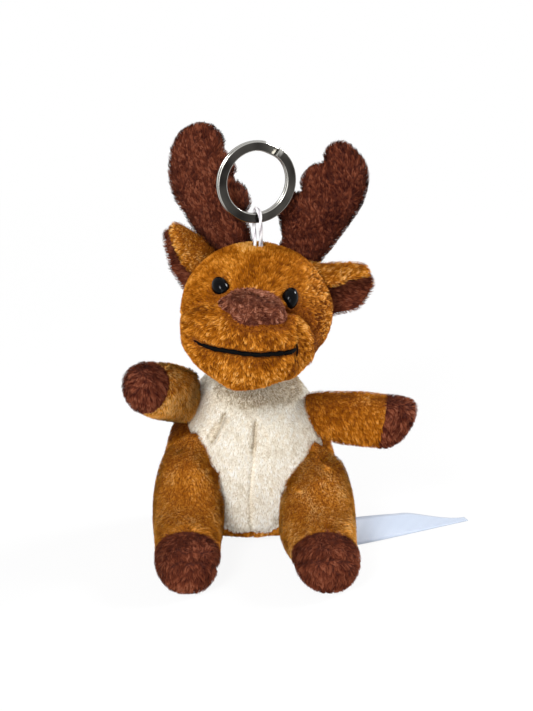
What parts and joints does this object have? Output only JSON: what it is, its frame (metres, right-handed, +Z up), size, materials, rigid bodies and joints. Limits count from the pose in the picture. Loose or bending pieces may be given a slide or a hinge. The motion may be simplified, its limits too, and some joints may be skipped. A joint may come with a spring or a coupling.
{
  "type": "plush deer pendant",
  "caption": "Small stuffed deer with flat lobed antlers that sits on its seat, with a cord loop on its crown that carries a split ring.",
  "frame": {"origin": "on the floor, on the flat of the seat, below the middle of the neck", "axes": "+Z up through the head, -Y the way the face looks, +X to the animal's own left"},
  "size_m": [0.107, 0.07, 0.1277],
  "materials": {
    "caramel_fur": "short golden brown plush pile",
    "brown_fur": "short dark brown plush pile",
    "cream_fur": "short cream plush pile",
    "black_thread": "satin embroidery thread",
    "black_plastic": "glossy",
    "filling": "loose polyester fibre",
    "white_cord": "braided, slightly shiny",
    "dark_nickel": "polished dark nickel",
    "white_satin": "bluish white satin ribbon"
  },
  "bodies": {
    "torso": {"back_panel": "caramel_fur", "belly_panel": "cream_fur", "torso_stuffing": "filling"},
    "head": {"forehead_panel": "caramel_fur", "muzzle_panel": "caramel_fur", "head_back_panel": "caramel_fur", "nose_patch": "brown_fur", "eye_left": "black_plastic", "eye_right": "black_plastic", "mouth_stitch": "black_thread", "head_stuffing": "filling"},
    "arm_left": {"arm_left_sleeve": "caramel_fur", "arm_left_paw": "brown_fur", "arm_left_stuffing": "filling"},
    "arm_right": {"arm_right_sleeve": "caramel_fur", "arm_right_paw": "brown_fur", "arm_right_stuffing": "filling"},
    "leg_left": {"leg_left_sleeve": "caramel_fur", "leg_left_foot": "brown_fur", "leg_left_stuffing": "filling"},
    "leg_right": {"leg_right_sleeve": "caramel_fur", "leg_right_foot": "brown_fur", "leg_right_stuffing": "filling"},
    "antler_left": {"antler_left_front": "brown_fur", "antler_left_back": "brown_fur", "antler_left_stuffing": "filling"},
    "antler_right": {"antler_right_front": "brown_fur", "antler_right_back": "brown_fur", "antler_right_stuffing": "filling"},
    "ear_left": {"ear_left_outer": "caramel_fur", "ear_left_lining": "brown_fur"},
    "ear_right": {"ear_right_outer": "caramel_fur", "ear_right_lining": "brown_fur"},
    "cord": {"cord_loop": "white_cord"},
    "ring": {"split_ring": "dark_nickel"},
    "label": {"care_label": "white_satin"}
  },
  "joints": [
    {"name": "head_turn", "type": "hinge", "parent": "torso", "child": "head", "pos_m": [0.0005, 0, 0.0512], "axis": [0.1392, 0, 0.9903], "range_deg": [-35, 45], "stiffness_Nm_per_rad": 0.01},
    {"name": "arm_left_swing", "type": "hinge", "parent": "torso", "child": "arm_left", "pos_m": [0.0207, -0.0062, 0.0402], "axis": [0.2419, 0, -0.9703], "range_deg": [-30, 45], "stiffness_Nm_per_rad": 0.001},
    {"name": "arm_right_swing", "type": "hinge", "parent": "torso", "child": "arm_right", "pos_m": [-0.02055, -0.0084, 0.0472], "axis": [0.2419, 0, 0.9703], "range_deg": [-85, 20], "stiffness_Nm_per_rad": 0.001},
    {"name": "leg_left_lift", "type": "hinge", "parent": "torso", "child": "leg_left", "pos_m": [0.0187, -0.015, 0.0255], "axis": [-0.9945, -0.1045, 0], "range_deg": [0, 45], "stiffness_Nm_per_rad": 0.002},
    {"name": "leg_right_lift", "type": "hinge", "parent": "torso", "child": "leg_right", "pos_m": [-0.0206, -0.015, 0.0255], "axis": [-1, -0.0087, 0], "range_deg": [0, 45], "stiffness_Nm_per_rad": 0.002},
    {"name": "antler_left_sway", "type": "hinge", "parent": "head", "child": "antler_left", "pos_m": [0.014, 0.0146, 0.0835], "axis": [-0.9889, 0.1392, 0.0518], "range_deg": [0, 12], "stiffness_Nm_per_rad": 0.002},
    {"name": "antler_right_sway", "type": "hinge", "parent": "head", "child": "antler_right", "pos_m": [-0.006, 0.014, 0.0857], "axis": [-0.9396, 0.342, -0.0164], "range_deg": [0, 12], "stiffness_Nm_per_rad": 0.002},
    {"name": "ear_left_fold", "type": "hinge", "parent": "head", "child": "ear_left", "pos_m": [0.0205, 0.005, 0.0832], "axis": [0.0114, -0.0852, 0.9963], "range_deg": [-12, 12], "stiffness_Nm_per_rad": 0.0005},
    {"name": "ear_right_fold", "type": "hinge", "parent": "head", "child": "ear_right", "pos_m": [-0.0158, 0.004, 0.0868], "axis": [0.702, -0.1505, 0.6961], "range_deg": [-12, 12], "stiffness_Nm_per_rad": 0.0005},
    {"name": "cord_swing", "type": "hinge", "parent": "head", "child": "cord", "pos_m": [0.0006, 0.0004, 0.0934], "axis": [0.9336, 0.3584, 0], "range_deg": [0, 25]},
    {"name": "ring_swing", "type": "hinge", "parent": "cord", "child": "ring", "pos_m": [0.0004, 0.00093, 0.10148], "axis": [0.9336, 0.3584, 0], "range_deg": [0, 95]},
    {"name": "label_flap", "type": "hinge", "parent": "leg_left", "child": "label", "pos_m": [0.0299, -0.0152, 0.0003], "axis": [0.329, -0.739, -0.588], "range_deg": [0, 40]}
  ]
}
